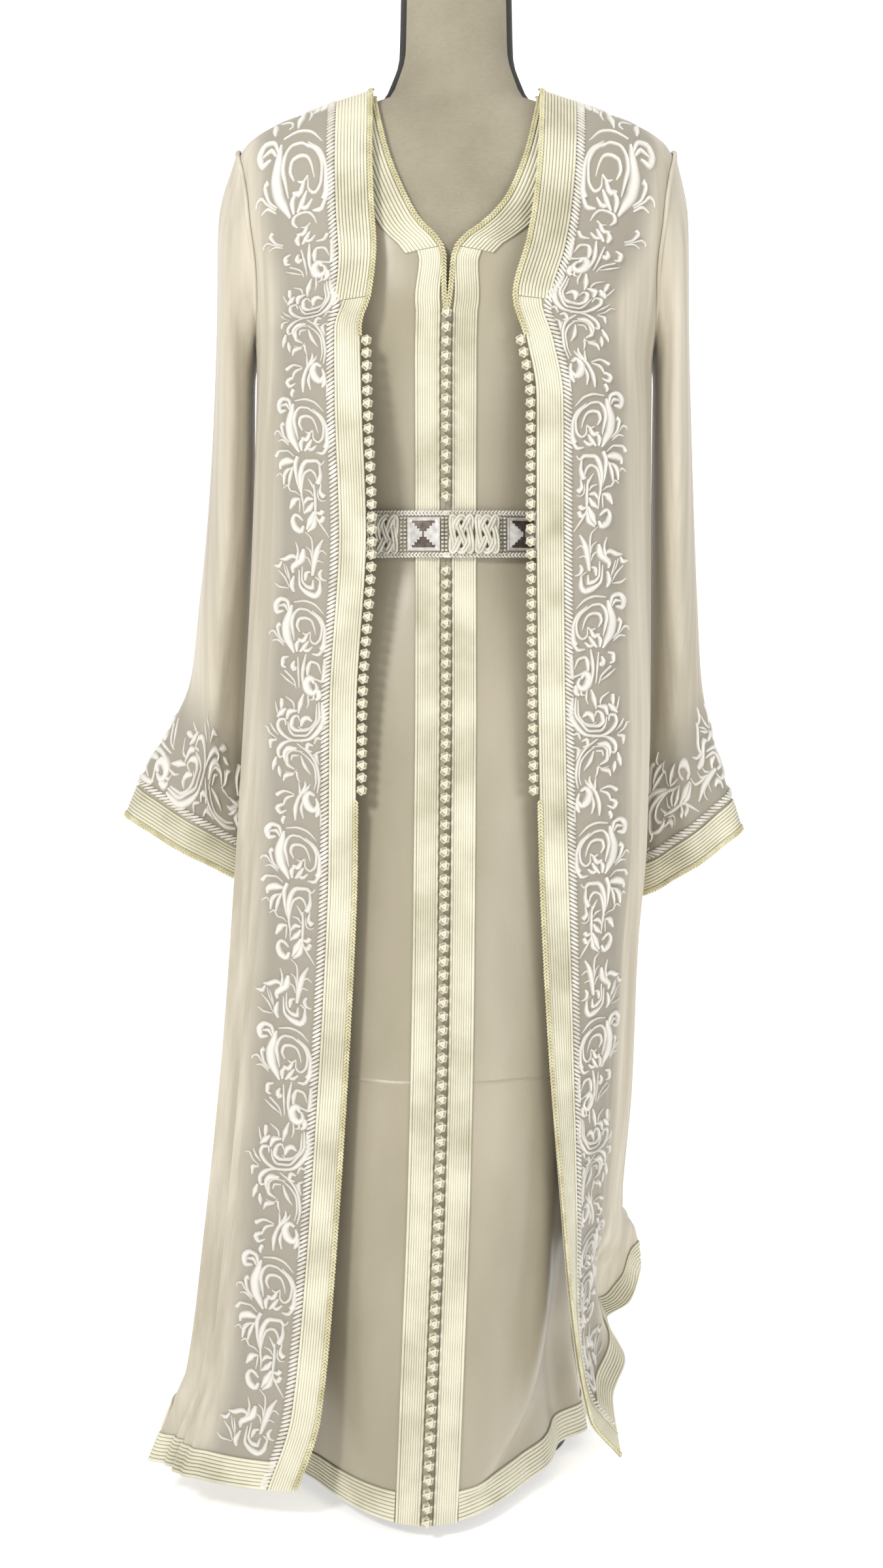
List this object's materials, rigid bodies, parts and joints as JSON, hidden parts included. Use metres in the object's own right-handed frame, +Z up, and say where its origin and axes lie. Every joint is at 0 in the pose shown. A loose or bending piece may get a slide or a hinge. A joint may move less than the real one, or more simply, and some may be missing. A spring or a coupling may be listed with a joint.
{
  "type": "takchita on a dress form",
  "caption": "Two-layer Moroccan dress, a satin under dress and a sheer embroidered over coat with braid, ball buttons and a belt, on a limbless dress form with a round base",
  "frame": {"origin": "the middle of the base's underside, on the floor under the form's pole", "axes": "+Z up, +X to the right as the front is seen, and the front faces -Y"},
  "size_m": [0.6668, 0.4986, 1.5463],
  "materials": {
    "satin": "champagne satin with a soft sheen",
    "chiffon": "matt sheer crepe with raised satin stitch embroidery",
    "braid": "ribbed ivory braid",
    "button": "knotted cream cord",
    "belt_braid": "close braid in ivory and silver thread",
    "belt_cord": "twisted cord in ivory and silver thread",
    "silver": "plaque wound in silver thread",
    "linen": "natural linen cover",
    "form_black": "black jersey cover",
    "stand_metal": "black painted steel"
  },
  "bodies": {
    "root": {"form_linen_front": "linen", "form_black_back": "form_black", "form_neck_cap": "form_black", "form_pole": "stand_metal", "form_base": "stand_metal", "under_front_left": "satin", "under_neck_band_left": "braid", "under_placket_band_left": "braid", "under_hem_band_left": "braid", "under_front_right": "satin", "under_neck_band_right": "braid", "under_placket_band_right": "braid", "under_hem_band_right": "braid", "under_back": "satin", "under_neck_band_back": "braid", "under_hem_band_back": "braid", "under_buttons_upper": "button", "under_buttons_lower": "button", "coat_front_left": "chiffon", "coat_neck_band_left": "braid", "coat_front_band_left": "braid", "coat_hem_band_left": "braid", "coat_buttons_left": "button", "coat_sleeve_left": "chiffon", "coat_cuff_band_left": "braid", "coat_front_right": "chiffon", "coat_neck_band_right": "braid", "coat_front_band_right": "braid", "coat_hem_band_right": "braid", "coat_buttons_right": "button", "coat_sleeve_right": "chiffon", "coat_cuff_band_right": "braid", "coat_back": "chiffon", "coat_neck_band_back": "braid", "coat_hem_band_back": "braid", "belt_strap": "belt_braid", "belt_plaque_1": "silver", "belt_knot_1": "belt_cord", "belt_plaque_2": "silver", "belt_knot_2": "belt_cord", "belt_plaque_3": "silver", "belt_knot_3": "belt_cord", "belt_plaque_4": "silver", "belt_knot_4": "belt_cord", "belt_plaque_5": "silver", "belt_knot_5": "belt_cord", "belt_plaque_6": "silver", "belt_knot_6": "belt_cord", "belt_plaque_7": "silver", "belt_knot_7": "belt_cord", "belt_plaque_8": "silver", "belt_knot_8": "belt_cord"}
  },
  "joints": []
}
